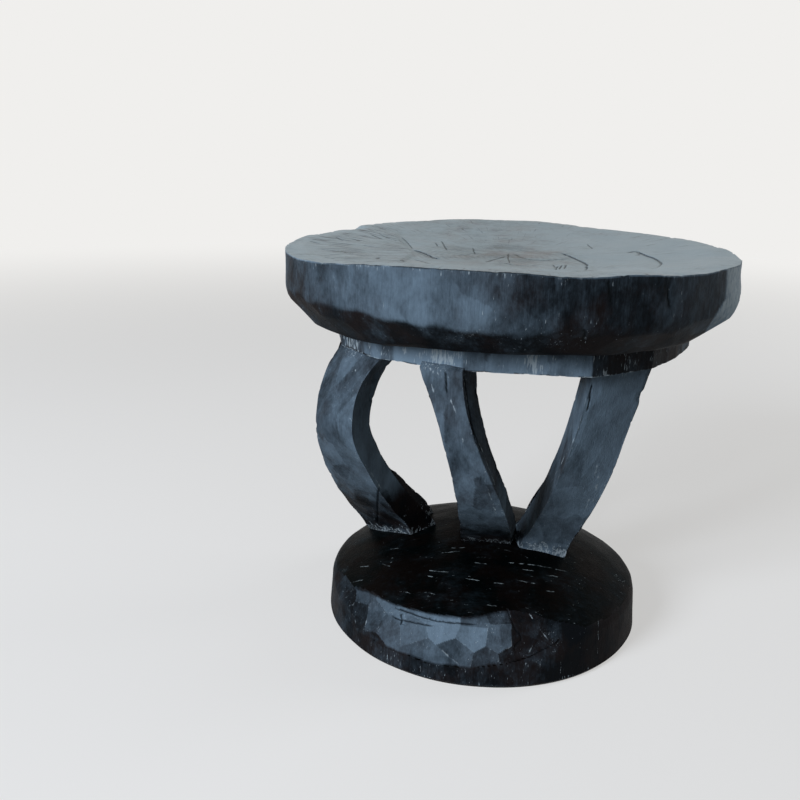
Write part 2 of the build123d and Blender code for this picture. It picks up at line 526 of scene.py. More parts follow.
def ebonised_wood(
    name, stain, umber, worn, pale, roughness, gloss, contrast, grain_axis="Z", end_grain=False
):
    """Hardwood stained black by smoke and oil, and rubbed by hands.

    The cracks are painted near-black as the shade inside them, the blue-grey of dusty wax is
    painted as sheen where the tone mark says light falls, torn fibres show pale along the edges
    and in thin scratches down the grain, and here and there the brown of the wood comes through the black.
    """
    material, tree, shader = new_material(name)
    shader.inputs["Specular IOR Level"].default_value = gloss
    place = node_in(tree, "ShaderNodeTexCoord")
    seen = {}
    for mark in ("tone", "wear", "crack", "fray"):
        seen[mark] = (node_in(tree, "ShaderNodeAttribute", {"attribute_name": mark}), "Fac")
    for pattern, across, along_grain, detail, coarseness in WOOD_PATTERNS:
        spot = node_in(
            tree, "ShaderNodeMapping", Vector=(place, "Object"),
            Scale=per_unit(across, along_grain, grain_axis),
        )
        made = node_in(
            tree, "ShaderNodeTexNoise",
            Vector=(spot, 0), Scale=1.0, Detail=detail, Roughness=coarseness,
        )
        seen[pattern] = (made, 0)

    # Soot sits deeper in the open pores of end grain, so it shows more there.
    soot = 0.9 if end_grain else 0.52
    # Each of these is one pattern, by a weight, laid over another.
    for pattern, upper, weight, under in (
        ("patchy", "clouds", 0.9 * contrast, "tone"),
        ("sooty", "mottle", soot * contrast, "patchy"),
        ("streaked", "fibres", 0.24 * contrast, "sooty"),
        ("clustered", "clouds", 0.45, "scratches"),
        ("torn", "fray", 0.2, "clustered"),
        ("pale_wear_and_light", "mottle", 1.6, "wear"),
        ("ribbed", "mottle", 0.7, "fibres"),
    ):
        made = node_in(
            tree, "ShaderNodeMath", WEIGHTED_SUM, _0=seen[upper], _1=weight, _2=seen[under]
        )
        seen[pattern] = (made, 0)
    if end_grain:
        weather_end_grain(tree, place, seen)

    # The painted sheen begins at the mean of its patterns, so a place with no painted light in its tone
    # has little of it.
    sheen_low = (0.57 + 0.5 * soot) * contrast - (0.0 if end_grain else 0.08)
    colour = srgb(stain)
    # Each coat lies over the last: where its pattern begins and is whole, its strength, colour.
    for pattern, low, high, strength, code in (
        ("thin stain", 0.42, 0.6, 1.0, umber),
        # The worn colour here is the blue-grey painted as sheen.
        ("streaked", sheen_low, sheen_low + 1.05, 1.0, worn),
        ("torn", 0.96, 1.06, 0.68, pale),
        ("pale_wear_and_light", 1.05, 1.9, 1.0, pale),
    ):
        share = node_in(
            tree, "ShaderNodeMapRange", SMOOTH,
            Value=seen[pattern], From_Min=low, From_Max=high, To_Max=strength,
        )
        seen[pattern + " share"] = (share, 0)
        coat = node_in(
            tree, "ShaderNodeMix", {"data_type": "RGBA"},
            Factor=(share, 0), _6=colour, _7=srgb(code),
        )
        colour = (coat, "Result")
    # Painted shade: cracks, checks and the rim's line take the near-black of an open crack.
    sunk = node_in(
        tree, "ShaderNodeMix", {"data_type": "RGBA"},
        Factor=seen["crack"], _6=colour, _7=srgb(CRACK_SHADE),
    )
    dull = node_in(
        tree, "ShaderNodeMapRange", Value=seen["clouds"],
        From_Min=0.3, From_Max=0.7, To_Min=roughness - 0.07, To_Max=roughness + 0.09,
    )
    height = node_in(
        tree, "ShaderNodeMath", WEIGHTED_SUM, _0=seen["torn share"], _1=0.6, _2=seen["ribbed"]
    )
    bump = node_in(
        tree, "ShaderNodeBump", Strength=0.5, Distance=BUMP_HEIGHT, Height=(height, 0)
    )
    tree.links.new(sunk.outputs["Result"], shader.inputs["Base Color"])
    tree.links.new(dull.outputs[0], shader.inputs["Roughness"])
    tree.links.new(bump.outputs["Normal"], shader.inputs["Normal"])
    return material


stained_side = ebonised_wood(
    "ebonised_long_grain", "#0a0d10", "#171313", "#6b7d8a", "#a3afb3", roughness=0.56,
    gloss=0.03, contrast=0.68,
)
# The dome's top is the same black wood in a darker, duller copy, painted as the shade that the seat throws
# over it.
foot_dome_painted_shade = ebonised_wood(
    "ebonised_dome_grain_painted_shade", "#020404", "#090605", "#2a363c", "#98a4a4", roughness=0.42,
    gloss=0.015, contrast=1.0, grain_axis="X",
)
# The top is the same black wood painted far paler: partly dust and wear on the end grain, mostly a painted
# reflection of the pale air that the top catches.
end_grain_dust_and_reflection = ebonised_wood(
    "ebonised_end_grain_dust_and_reflection", "#485659", "#5b5652", "#98a6a9", "#b4bebf", roughness=0.5,
    gloss=0.4, contrast=1.2, grain_axis="X", end_grain=True,
)


# ---------------------------------------------------------------- seat
# Height of the rim, in millimetres, at bearings round the seat.
RIM_HEIGHTS = eased_ring((
    (-108, 267.8), (-90, 266.2), (-76, 265.5), (-60, 265.0), (-52, 265.6), (-44, 267.0),
    (-36, 268.5), (-28, 269.1), (-16, 269.2), (-4, 269.0), (4, 267.9), (8, 267.4), (12, 267.5),
    (18, 268.3), (24, 267.9), (31, 266.9), (40, 266.4), (48, 267.3), (64, 266.9), (74, 266.4),
    (92, 268.6), (110, 269.8), (138, 270.5), (166, 273.6), (-176, 273.8), (-148, 271.6),
    (-132, 270.4),
))
# How far a flake that has come away from the rim lowers it, and how much wood is rubbed bare.
RIM_FLAKE = eased_ring(((-136, 0), (-133, 0), (-132, 2.6), (-122, 1.4), (-104, 0), (0, 0)))
RIM_WEAR = eased_ring((
    (-90, 0.45), (-74, 0.6), (-62, 1.0), (-48, 0.9), (-20, 0.85), (2, 0.7), (12, 0.3), (20, 0.25),
    (26, 0.75), (36, 0.6), (50, 0.4), (95, 0.35), (180, 0.3),
))
RIM_PLAIN_HEIGHT = 271.0    # of the uncarved rim at the middle, which rises to the rear
RIM_PLAIN_RISE = 6.0 / 294.0
# How far the belly hangs below the uncarved one, at bearings round the seat.
BELLY_DROPS = eased_ring((
    (0, -2.0), (30, -1.0), (62, 0.0), (95, 0.0), (180, 1.0), (-92, 0.0), (-72, 0.0),
    (-45, 0.5), (-20, -1.5),
))
# How far the wall spreads below the rim.
WALL_FLARE = eased_ring((
    (-95, 0), (-82, 0.6), (-60, 0), (40, 0), (58, 1.8), (70, 2.2), (82, 0.6), (92, 0), (180, 0),
))
BELLY_TOP = 247.0
BELLY_DEPTH = 28.0
WALL_SOUNDING = 255.0       # height at which the wall's reach is read
RIM_FLAT = 7.0              # width of the flat along the rim
RIM_SHADOW_WIDTH = 0.7              # width of the painted shadow line along its edge
RIM_REACH = 137.0           # nearer than this to the middle, nothing belongs to the rim
TOP_LOWEST = 250.0          # height above which the faces that look up are the top's
TOP_FACING = 0.6            # how far up they look
CHIP_DROP = 0.6             # depth of the rim's chips from above
CHIP_BITE = 0.5             # and from the side

# Heights and reaches, in millimetres, between which the seat's forms fade in or out.
WAVES_GROW = (232, 262)     # the rim's waves, up the wall
FLAKE_GROWS = (245, 266)    # the flake, up the wall
FLAKE_REACH = (126, 140)    # and out from the middle
FLARE_BAND = (222, 240, 247, 266)
FLARE_REACH = 110
TERRACE_FLOOR = 255
TERRACE_EDGE = (134, 112)
TERRACE_MIDDLE = 5          # from front to back
TERRACE_SPAN = (95, 50)

# How dark the painted shadow line along the rim's edge is, where the top overhangs the wall.
RIM_SHADOW = eased_ring((
    (-90, 0.1), (-56, 0.2), (-44, 0.9), (-30, 1.0), (4, 1.0), (12, 0.3), (180, 0.1),
))

# Painted sheen: how strongly the wall is painted blue-grey where light falls on it, and the height where
# that ends above the belly, which faces down into shade.
WALL_PAINTED_SHEEN = eased_ring((
    (-100, 0.5), (-88, 0.5), (-74, 0.2), (-62, 0.2), (-50, 0.22), (-36, 0.44), (-22, 0.47),
    (-12, 0.34), (-2, 0.19), (8, 0.12), (30, 0.11), (48, 0.22), (60, 0.42), (70, 0.55), (82, 0.8),
    (100, 0.5), (140, 0.25), (180, 0.25),
))
PAINTED_SHEEN_EDGE = eased_ring((
    (-100, 214), (-82, 230), (-66, 243), (-44, 242.5), (-28, 239), (-10, 236.5), (10, 237),
    (60, 232), (90, 214), (180, 222),
))
# Painted reflection: how strongly the top is painted pale at bearings round the seat.
TOP_PAINTED_REFLECTION = eased_ring((
    (-90, 0.6), (-40, 0.48), (0, 0.35), (40, 0.7), (90, 0.8), (150, 0.5), (180, 0.35),
))
# The flat at the wall's right end, painted pale as light falling on it, lies right of this line: down and
# across the view.
PALE_FLAT = ((255, 731), (265, 728), (299, 725.5), (331, 706), (340, 700))

# Belly flats: bearing, slope of the flat's face below the horizontal, and depth of the cut.
BELLY_FLATS = (
    (-108, 42, 2.2), (-92, 36, 2.0), (-77, 44, 2.4), (-62, 33, 2.0), (-47, 45, 1.8), (-30, 38, 2.2),
    (-12, 47, 2.0), (6, 40, 2.0), (24, 48, 2.2), (41, 36, 1.8), (54, 50, 2.0), (70, 27, 2.6),
    (66, 58, 3.6), (90, 38, 2.2), (110, 46, 2.0), (130, 38, 2.4), (152, 44, 2.0), (174, 38, 2.2),
    (-164, 45, 2.0), (-144, 37, 2.4), (-126, 44, 2.0),
)
WALL_FLATS = (
    (-116, 2, 0.5), (-98, 0, 0.2), (-80, -1, 0.2), (-64, 1, 0.4), (-44, 2, 0.7), (-22, 1, 0.7),
    (0, 2, 0.6), (20, 0, 0.7), (40, 1, 0.6), (66, -6, 0.5), (84, 0, 0.2), (106, 0, 0.6),
    (128, 2, 0.7), (150, 1, 0.9), (172, 2, 0.8), (-166, 0, 0.8), (-148, 2, 0.8), (-132, 1, 0.8),
)

# Ring shakes and checks in the top, as rows of view positions.
TOP_SHAKES = (
    ((558.6, 252), (567.1, 254.9), (575.7, 258.4), (582.9, 262), (587.9, 264.6), (585.7, 266.3),
     (587.1, 268), (584.3, 270.6)),
    ((635.7, 249.9), (644.3, 254.9), (652.9, 257.4), (658.6, 260.6), (662.1, 263.4),
     (659.3, 265.6), (655.7, 268), (650.7, 268.9)),
    ((412.9, 249.4), (424.3, 252.7), (434.3, 257.7), (441.4, 259.1)),
)
# Checks that run from front to back, and wider ones that run from side to side.
LONG_CHECKS = (
    ((378.6, 233.4), (388.6, 238.4), (398.6, 241.3)),
    ((401.4, 237), (408.6, 243.4), (413, 249)),
    ((435.7, 242.7), (437.9, 246.3)),
    ((441.4, 240.6), (444, 245), (447.1, 250.6)),
    ((472.9, 247.7), (475, 254.1)),
    ((508.6, 253.4), (507.9, 257.7), (510, 263.4)),
    ((553, 264.5), (556, 268)),
    ((558, 266), (555.5, 270)),
    ((562, 265), (559.5, 269.5)),
    ((567, 264.7), (564, 269)),
    ((587, 244), (592.9, 249)),
)
WIDE_CHECKS = (
    ((310, 241.3), (320, 243.4)),
    ((335.7, 237), (343.6, 240.6)),
    ((351.4, 238.4), (360.7, 241.3)),
    ((362.1, 245.1), (380, 247.7)),
    ((371.4, 234.9), (382.9, 239.1)),
    ((320, 249.1), (337.1, 250.9)),
    ((337.1, 250.6), (357.1, 254.9)),
    ((324.3, 257), (335.7, 259.1)),
    ((376.4, 259.1), (380, 257.4)),
    ((415.7, 251.3), (425.7, 254.9), (435.7, 258.4)),
    ((398.6, 259.9), (407.1, 261.3)),
    ((412.9, 259.1), (421, 261), (430, 263.7)),
    ((455.7, 254.9), (471.4, 254.9)),
    ((486, 262), (496, 259), (506, 256.4)),
    ((499, 263.2), (504.3, 262.7), (512.4, 265)),
    ((512.4, 265.5), (526, 266), (539.8, 265.5)),
    ((514.9, 253.9), (521.6, 258), (535.7, 260.6), (552.9, 259.9), (571.4, 258.4)),
    ((571, 271.5), (599.5, 270)),
    ((626.9, 253), (636, 250.5), (641, 254), (634, 255)),
    ((655.7, 268), (650.7, 268.9)),
)

# Columns of faces round the seat, and rings from the middle of its top to that of its underside.
SEAT_COLUMNS = 480
TOP_RINGS = 78
WALL_RINGS = 18
BELLY_RINGS = 28
UNDERSIDE_RINGS = 10


def seat_block():
    """The seat's form in rings round its axis, with one ring exactly along the rim."""
    surface = solid_surface("seat")
    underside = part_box("seat")[0].z
    belly_top = BELLY_TOP * MM
    belly = BELLY_DEPTH * MM
    walls = {}

    def place_at(column, ring):
        out = toward(crowded_bearing(column, SEAT_COLUMNS))
        if column not in walls:
            hit = surface.ray_cast(out + Vector((0, 0, WALL_SOUNDING * MM)), -out)[0]
            walls[column] = hit.xy.length
        wall = walls[column]
        rim_height = RIM_PLAIN_HEIGHT * MM + RIM_PLAIN_RISE * out.y * wall
        if ring <= TOP_RINGS:
            reach = wall * ring / TOP_RINGS
            if ring == TOP_RINGS - 1:
                reach = wall - RIM_SHADOW_WIDTH * MM
            height = RIM_PLAIN_HEIGHT * MM + RIM_PLAIN_RISE * out.y * reach
            if reach < wall - RIM_FLAT * MM:
                sounding = out * reach + Vector((1e-6, 1e-6, 1))
                height = surface.ray_cast(sounding, Vector((0, 0, -1)))[0].z
            return out * reach + Vector((0, 0, height))
        ring -= TOP_RINGS
        if ring <= WALL_RINGS:
            height = rim_height + (belly_top - rim_height) * ring / WALL_RINGS
            return out * wall + Vector((0, 0, height))
        ring -= WALL_RINGS
        if ring <= BELLY_RINGS:
            turn = math.pi / 2 * ring / BELLY_RINGS
            reach = wall - belly + belly * math.cos(turn)
            return out * reach + Vector((0, 0, belly_top - belly * math.sin(turn)))
        ring -= BELLY_RINGS
        reach = (wall - belly) * (1 - ring / UNDERSIDE_RINGS)
        return out * reach + Vector((0, 0, underside))

    rings = TOP_RINGS + WALL_RINGS + BELLY_RINGS + UNDERSIDE_RINGS
    return wrapped_grid(SEAT_COLUMNS, rings, place_at)


# The flat terrace on the left of the dish ends in a ridge, given as places on it (x by y).
TERRACE_RIDGE = ((-150, -62), (-72, -72), (-30, -66), (-12, -61), (30, -68), (66, -74), (150, -60))
TERRACE_LIFT = 1.3


def shape_seat(bm):
    """Gives the seat's rim, terrace and belly their uneven heights."""
    for vert in bm.verts:
        place = vert.co
        reach = place.xy.length / MM
        height = place.z / MM
        bearing = bearing_of(place)
        if height > WAVES_GROW[0]:
            uncarved = RIM_PLAIN_HEIGHT + RIM_PLAIN_RISE * place.y / MM
            lift = around(bearing, RIM_HEIGHTS) - uncarved
            flake_drop = around(bearing, RIM_FLAKE) * blend_step(reach, *FLAKE_REACH)
            share = blend_step(height, *WAVES_GROW) * blend_step(reach, 20, 140)
            place.z += (lift * share - flake_drop * blend_step(height, *FLAKE_GROWS)) * MM
        if height > TERRACE_FLOOR and reach < TERRACE_EDGE[0]:
            ridge = along(place.y / MM, TERRACE_RIDGE) + 2.5 * unevenness(place, 9, 3.0)
            inside = ridge - place.x / MM
            step = blend_step(inside, -1.5, 2.5) * blend_step(reach, *TERRACE_EDGE)
            span = blend_step(abs(place.y / MM - TERRACE_MIDDLE), *TERRACE_SPAN)
            place.z += TERRACE_LIFT * step * span * MM
        if height < FLARE_BAND[-1] and reach > FLARE_REACH:
            swell = around(bearing, WALL_FLARE) * plateau(height, *FLARE_BAND)
            place += toward(bearing) * swell * MM
        if height < BELLY_TOP:
            drop = around(bearing, BELLY_DROPS)
            share = (BELLY_TOP - height) / BELLY_DEPTH
            place.z -= drop * share * blend_step(reach, 60, 118) * MM
    bm.normal_update()


def flats_round(bm, flats, low, high):
    """Pares flats round a form. Each lies a depth inside whatever stands out most towards it."""
    band = [vert for vert in bm.verts if low * MM < vert.co.z < high * MM]
    for bearing, slope, depth in flats:
        normal = toward(bearing, -slope)
        facing = [vert for vert in band if vert.co.dot(toward(bearing)) > 0.07]
        proudest = max(facing, key=lambda vert: vert.co.dot(normal))
        pare(facing, proudest.co - normal * depth * MM, normal)
    bm.normal_update()


def chip_rim(bm):
    """Breaks small chips out of the rim's sharp edge, marks the pale wood in them, and paints a dark
    shadow line along the edge.
    """
    wear, fray, crack = layers_of(bm, "wear", "fray", "crack")
    for vert in bm.verts:
        place = vert.co
        reach = place.xy.length / MM
        if place.z < 258 * MM or reach < RIM_REACH:
            continue
        bearing = bearing_of(place)
        rim = around(bearing, RIM_HEIGHTS) - around(bearing, RIM_FLAKE)
        under = rim - place.z / MM
        edge = Vector((place.x, place.y, 0))
        chip = blend_step(unevenness(edge, 5, 21.0) + 0.6 * unevenness(edge, 2.2, 4.0), 0.1, 0.8)
        strength = around(bearing, RIM_WEAR)
        on_wall = vert.normal.z < 0.8
        if on_wall:
            vert[wear] = 0.7 * strength * blend_step(under, 3.0, 0.5) * (0.3 + 0.8 * chip)
            vert[fray] = 0.6 * strength * blend_step(under, 5 + 5 * chip, 0.5)
        # Painted shadow: a dark line along the rim's edge, marked as a crack.
        slopes = [face.normal.z for face in vert.link_faces]
        if max(slopes) > 0.8 and min(slopes) < 0.5:
            vert[crack] = around(bearing, RIM_SHADOW) * blend_step(unevenness(edge, 9, 2.0), -0.7, 0.0)
        if under < 1.5:
            bite = chip * blend_step(under, 1.5, 0.3)
            bite *= 1.0 if on_wall else blend_step(reach, RIM_REACH, 144)
            place.z -= CHIP_DROP * bite * MM
            place -= toward(bearing) * CHIP_BITE * bite * MM
    bm.normal_update()


# Cracks and scratches in the wall, as rows of view positions.
SIDE_CRACKS = (
    ((608, 280), (610, 290), (612, 305)),
    ((668, 285), (668.5, 297), (670, 310)),
    ((584, 329), (585, 335), (583, 341)),
)
SIDE_SCRATCHES = (
    ((466, 338), (474, 334), (482, 329)),
    ((612, 276), (613, 288)), ((519, 262), (520, 275)), ((668, 283), (671, 311)),
    ((583, 330), (586, 342)), ((725.5, 299.5), (716, 316), (707, 329)),
)


def open_checks(bm):
    """Opens the cracks in the seat, with smaller faces where they lie close."""
    shakes = traced(bm, *TOP_SHAKES)
    long_checks = traced(bm, *LONG_CHECKS)
    wide_checks = traced(bm, *WIDE_CHECKS)
    side_cracks = traced(bm, *SIDE_CRACKS)
    scratches = traced(bm, *SIDE_SCRATCHES)

    def in_opening(place):
        openings = (shakes, long_checks, wide_checks)
        return place.z > TOP_LOWEST * MM and min(trace.near(place)[0] for trace in openings) < 1.7 * MM

    finer(bm, in_opening, cuts=2)
    flake(bm, shakes, drop=0.6, reach=9.0, side=-1)
    split_open(bm, shakes, width=1.0, depth=1.0)
    split_open(bm, long_checks, width=0.65, depth=0.6, shade=0.9)
    split_open(bm, wide_checks, width=1.3, depth=0.6, shade=0.8)
    split_open(bm, side_cracks, width=1.2, depth=0.8)
    draw_on(bm, "wear", scratches, width=1.0, strength=0.75)


# Bearings between which the flat at the left is pale, and where pale flecks are smeared.
LEFT_PALE = (-118, -92, -87, -81)
SMEARED = (-12, 0, 14, 26)
SMEARED_HEIGHTS = (228, 234, 244, 252)


def on_top(place, normal):
    """Whether a place on the seat shows its end grain."""
    return normal.z > TOP_FACING and place.z > TOP_LOWEST * MM


def paint_top_reflection_and_hatch(vert, tone, hatch):
    """Tone of the dish with its painted reflection, and the hatching of the terrace on its left."""
    reach = vert.co.xy.length
    ridge = along(vert.co.y / MM, TERRACE_RIDGE)
    terrace = blend_step(ridge - vert.co.x / MM, -3, 6)
    vert[tone] = around(bearing_of(vert.co), TOP_PAINTED_REFLECTION) * blend_step(reach, 0.0, 0.09)
    vert[tone] += 0.28 + 0.2 * unevenness(vert.co, 26, 14.0) + 0.1 * terrace
    vert[tone] += 0.12 * unevenness(vert.co, 9, 4.0)
    vert[hatch] = 0.15 + 0.85 * terrace * blend_step(reach, 0.143, 0.125)


def paint_wall_light_and_flecks(vert, tone, wear, fray):
    """Sheen painted on the wall above the belly, which is left dark as shade, and the flats at its ends
    painted pale.
    """
    bearing = bearing_of(vert.co)
    height = vert.co.z / MM
    edge = around(bearing, PAINTED_SHEEN_EDGE) + 4 * unevenness(vert.co, 16, 17.0)
    # Painted sheen above the edge, and painted shade below it on the belly.
    vert[tone] = around(bearing, WALL_PAINTED_SHEEN) * blend_step(height, edge - 2.0, edge + 1.6)
    # Painted light: the flat at the right end is painted pale as light falling on it, in tone and in the
    # pale wear colour; the flat at the left is painted pale the same way.
    if 30 < bearing < 125:
        across, down = seen_at(vert.co)
        pale = blend_step(across - along(down, PALE_FLAT), -1.2, 1.2)
        pale = max(pale, blend_step(bearing, 72, 80)) * blend_step(bearing, 112, 84)
        pale_wear_and_light = 0.8 * pale * blend_step(height, 215, 250)
    else:
        pale = plateau(bearing, *LEFT_PALE) * blend_step(height, 226, 246)
        pale_wear_and_light = 0.6 * pale
    vert[tone] += (1.0 - vert[tone]) * pale
    vert[tone] += 0.14 * unevenness(vert.co, 11, 19.0, 2.0)
    vert[wear] = max(vert[wear], pale_wear_and_light)
    smeared = plateau(bearing, *SMEARED) * plateau(height, *SMEARED_HEIGHTS)
    vert[fray] = max(vert[fray], 0.4 * smeared)


def carve_seat():
    """Carves the seat and stains its end grain and its wall."""
    bm = seat_block()
    shape_seat(bm)
    flats_round(bm, WALL_FLATS, low=225, high=269)
    flats_round(bm, BELLY_FLATS, low=200, high=262)
    roughen(bm, depth=0.35, size=30, seed=3.1)
    scallop(
        bm, depth=0.4, size=17, seed=2.0, stretch=1.5, shading=0.07,
        chosen=lambda place: 1.0 if place.z < 262 * MM else 0.6,
    )
    chip_rim(bm)
    open_checks(bm)
    tone, wear, fray, hatch = layers_of(bm, "tone", "wear", "fray", "hatch")
    for vert in bm.verts:
        if on_top(vert.co, vert.normal):
            paint_top_reflection_and_hatch(vert, tone, hatch)
        else:
            paint_wall_light_and_flecks(vert, tone, wear, fray)
    wear_edges(bm, low=0.08, high=0.4)
    for face in bm.faces:
        face.material_index = 0 if on_top(face.calc_center_median(), face.normal) else 1
    finished(bm, "seat", [end_grain_dust_and_reflection, stained_side], 30)


# ---------------------------------------------------------------- collar
COLLAR_MIDDLE = Vector((4.0, -1.0, 0)) * MM
# The collar's corners round from the left: bearing from its middle, and reach.
COLLAR_CORNERS = (
    (-114, 116), (-92, 118), (-69, 119.5), (-49, 116.5), (-20, 108.8), (17.5, 116.2), (41, 115.8),
    (59, 115), (78, 121.5), (90, 120), (106, 117), (140, 116), (173, 116), (206, 116),
)
COLLAR_BOTTOM = 206.0
COLLAR_TOP = 224.0          # runs up inside the seat
COLLAR_FACE = 1.2           # side of the collar's faces
# Painted light and shade: how strongly each facet is painted with sheen where light falls and left dark
# where it is shaded, and how strongly it shows its torn fibres, at bearings round it.
COLLAR_PAINTED_SHEEN = eased_ring((
    (-90, 0.2), (-66, 0.12), (-60, 0.45), (-48, 0.62), (-47, 0.3), (-44, 0.36), (-43, 0.82),
    (-34, 0.78), (-33, 0.95), (-21, 0.95), (-20, 0.55), (-4, 0.52), (-3, 0.62), (8, 0.7), (9, 0.5),
    (17, 0.56), (18, 0.02), (58, 0.0), (80, 0.2), (180, 0.25),
))
COLLAR_FRAY = eased_ring((
    (-90, 0.3), (-68, 0.5), (-64, 1.15), (-59, 1.0), (-56, 0.3), (-44, 0.3), (-34, 0.6), (-23, 0.8),
    (-19, 0.3), (-4, 0.35), (2, 0.8), (12, 0.4), (30, 0.55), (60, 0.2), (180, 0.3),
))
# Where fibres are torn out of the collar's face: view position, and reach in millimetres.
COLLAR_TEARS = (
    (371, 336, 6), (370, 345, 6), (384, 351, 5), (404, 350, 4), (438, 356, 7), (449, 360, 7),
    (459, 359, 8), (531, 360, 7), (534, 369, 6), (500, 366, 5), (606, 373, 3),
)


def collar_outline():
    """Places round the collar, with one exactly on each corner."""
    corners = [toward(bearing) * reach * MM for bearing, reach in COLLAR_CORNERS]
    places = []
    for start, end in zip(corners, corners[1:] + corners[:1]):
        steps = max(2, round((end - start).length / (COLLAR_FACE * MM)))
        places += [start.lerp(end, step / steps) for step in range(steps)]
    return places


def collar_rows():
    """Share of the reach, and height, of each ring from the top's middle to the bottom's."""
    steps = round((COLLAR_TOP - COLLAR_BOTTOM) / COLLAR_FACE)
    wall = [(1.0, COLLAR_TOP + (COLLAR_BOTTOM - COLLAR_TOP) * step / steps) for step in range(steps + 1)]
    cap = [(share, COLLAR_TOP) for share in (0.0, 0.4, 0.8)]
    floor = [(share, COLLAR_BOTTOM) for share in (0.985, 0.96, 0.92, 0.86, 0.78, 0.66, 0.5, 0.3, 0.0)]
    return cap + wall + floor


def carve_collar():
    """Carves the faceted ring under the seat, and tears fibres out of its face."""
    outline = collar_outline()
    rows = collar_rows()

    def place_at(column, row):
        share, height = rows[row]
        return COLLAR_MIDDLE + outline[column] * share + Vector((0, 0, height * MM))

    bm = wrapped_grid(len(outline), len(rows) - 1, place_at)
    roughen(bm, depth=0.15, size=16, seed=5.5, stretch=1.5)
    scallop(bm, depth=0.25, size=13, seed=6.0, stretch=2.2, shading=0.16)
    surface = BVHTree.FromBMesh(bm)
    tears = [(seen_on(surface, across, down)[0], reach) for across, down, reach in COLLAR_TEARS]
    for spot, reach in tears:
        nibble(bm, spot, 0.7 * reach, depth=0.5)
    tone, fray = layers_of(bm, "tone", "fray")
    for vert in bm.verts:
        bearing = bearing_of(vert.co - COLLAR_MIDDLE)
        if vert.normal.z > -0.7:
            # Painted sheen and shade by bearing, with random tone.
            vert[tone] = around(bearing, COLLAR_PAINTED_SHEEN) + 0.15 * unevenness(vert.co, 9, 4.0)
            vert[fray] = around(bearing, COLLAR_FRAY) + 0.9 * max(
                blend_step((vert.co - spot).length / MM, reach, 0.2 * reach)
                for spot, reach in tears
            )
        if vert.co.z < (COLLAR_BOTTOM + 1) * MM:
            ragged = blend_step(unevenness(vert.co, 5, 8.0) + 0.4 * unevenness(vert.co, 2, 1.0), 0, 1)
            vert.co.z += ragged * 0.5 * MM
            if vert.normal.z > -0.9:
                vert.co -= toward(bearing) * ragged * 0.3 * MM
    wear_edges(bm, low=0.05, high=0.3)
    finished(bm, "collar", [stained_side], 16)


# ---------------------------------------------------------------- struts
# Each strut's four corners are set at these shares of the way from the collar to the foot.
STATION_SHARES = (0.0, 0.12, 0.3, 0.57, 0.83, 1.0)
COLLAR_REACH = 116.0
FOOT_REACH = 113.0
FOOT_STATION = 60.0
FOOT_END = 36.0             # inside the foot
STRUT_TOP = 210.0           # inside the collar
STRUT_AXIS = Vector((-2.8, -4.05, 0))
STRUT_FACE = 0.95           # side of a strut's faces
STRUT_TUCK = 1.2            # how steeply a strut is drawn in where it enters the collar
RAGGED_EDGE = 0.8           # how far splinters are missing along its edges
DEEP_RIDGE = 2.0            # a ridge higher than this throws its left side into shade
LOW_LIGHT_END = (104, 112)  # height where the painted light of the outer and right sides turns to that near the foot
LOW_LIGHT_FULL = 84

# Sizes are millimetres and degrees, with a value for each station where there are six:
# insets of the outer face at the top and the foot, how far it bows out, bearing and width,
# how far it is turned, which way the two sides are cut, and how deep the strut is.
STRUTS = {
    "strut_left_front": dict(
        top_inset=15, foot_inset=37, bows=(0, 16.5, 32, 24.5, 8.5, 0),
        bearings=(-64, -64, -60, -65, -77.5, -92), widths=(45, 40, 34.5, 37, 42.5, 47),
        turns=(14, 14, 17.5, 32, 46, 58), left_cut=12, right_cut=31.5, depth=22.5,
        foot_lean=0.9),
    "strut_centre_front": dict(
        top_inset=11, foot_inset=85.5, bows=(0, 11.5, 26.5, 34.5, 17.5, 0),
        bearings=(-24.5, -21.5, -16.5, -10.5, -7.5, -7), widths=(27.5, 23, 22, 28.5, 34, 36),
        turns=(0, -4, -7, -4.5, -1.5, 0.5), left_cut=0, right_cut=-13, depth=16),
    "strut_right_front": dict(
        top_inset=6.5, foot_inset=62.5, bows=(0, 3.5, 7.5, 10, 4.5, 0),
        bearings=(36, 35.5, 35.5, 36, 40.5, 46.5), widths=(40.5, 38.5, 36.5, 35.5, 34, 33.5),
        turns=(-16.5, -16.5, -19, -26.5, -40, -51), left_cut=-33.5, right_cut=-8, depth=22.5),
    "strut_left_rear": dict(
        top_inset=9.5, foot_inset=43, bows=(0, 9, 20.5, 28.5, 12, 0),
        bearings=(-109.5, -106.5, -102, -97.5, -102, -112), widths=(32, 30.5, 29, 28.5, 33, 30),
        turns=(-5, -7, -9, -7, -13, -14), left_cut=-12, right_cut=0, depth=21),
    "strut_right_rear": dict(
        top_inset=9.5, foot_inset=43, bows=(0, 5.5, 12.5, 14.5, 8, 0),
        bearings=(115, 115, 115.5, 116.5, 118, 119), widths=(31, 30, 29, 29, 31.5, 33),
        turns=(4, 5, 6, 8, 10, 11.5), left_cut=6, right_cut=12.5, depth=22),
    "strut_centre_rear": dict(
        top_inset=9.5, foot_inset=49, bows=(0, 5.5, 12, 14, 8, 0),
        bearings=(197, 195.5, 193, 188.5, 183, 179), widths=(31, 29.5, 28.5, 28.5, 31.5, 34),
        turns=(-4, -4, -5, -6, -8, -10), left_cut=-9.5, right_cut=-4, depth=22),
}

